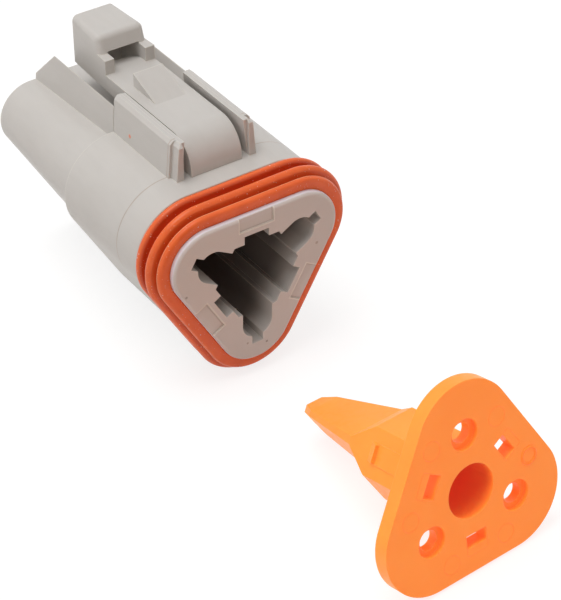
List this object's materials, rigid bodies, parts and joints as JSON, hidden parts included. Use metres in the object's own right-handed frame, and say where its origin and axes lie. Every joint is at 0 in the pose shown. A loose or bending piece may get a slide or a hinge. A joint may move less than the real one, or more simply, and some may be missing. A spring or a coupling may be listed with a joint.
{
  "type": "sealed wire connector plug",
  "caption": "Sealed wire plug with a rounded triangular nose, ribbed sealing ring, sprung latch with thumb tab, and its wedge lock laid in front of it.",
  "frame": {"origin": "centre of the mating face, on the axis between the contacts", "axes": "-Y out of the mating face towards the header, +Y towards the wires, +Z the side of the latch, +X to the right when the latch is up and the nose faces the viewer"},
  "size_m": [0.0288, 0.0864, 0.035],
  "materials": {
    "housing": "fine moulded grey",
    "seal": "soft orange-red silicone",
    "lock": "smooth orange moulding"
  },
  "bodies": {
    "plug": {"front_shell": "housing", "rear_shell": "housing", "wire_seal": "seal", "mating_seal": "seal", "wedge_lock": "lock"},
    "latch": {"latch_arm": "housing"}
  },
  "joints": [
    {"name": "latch_press", "type": "hinge", "parent": "plug", "child": "latch", "pos_m": [0, 0.0098, 0.0109], "axis": [-1, 0, 0], "range_deg": [0, 4], "stiffness_Nm_per_rad": 4}
  ]
}
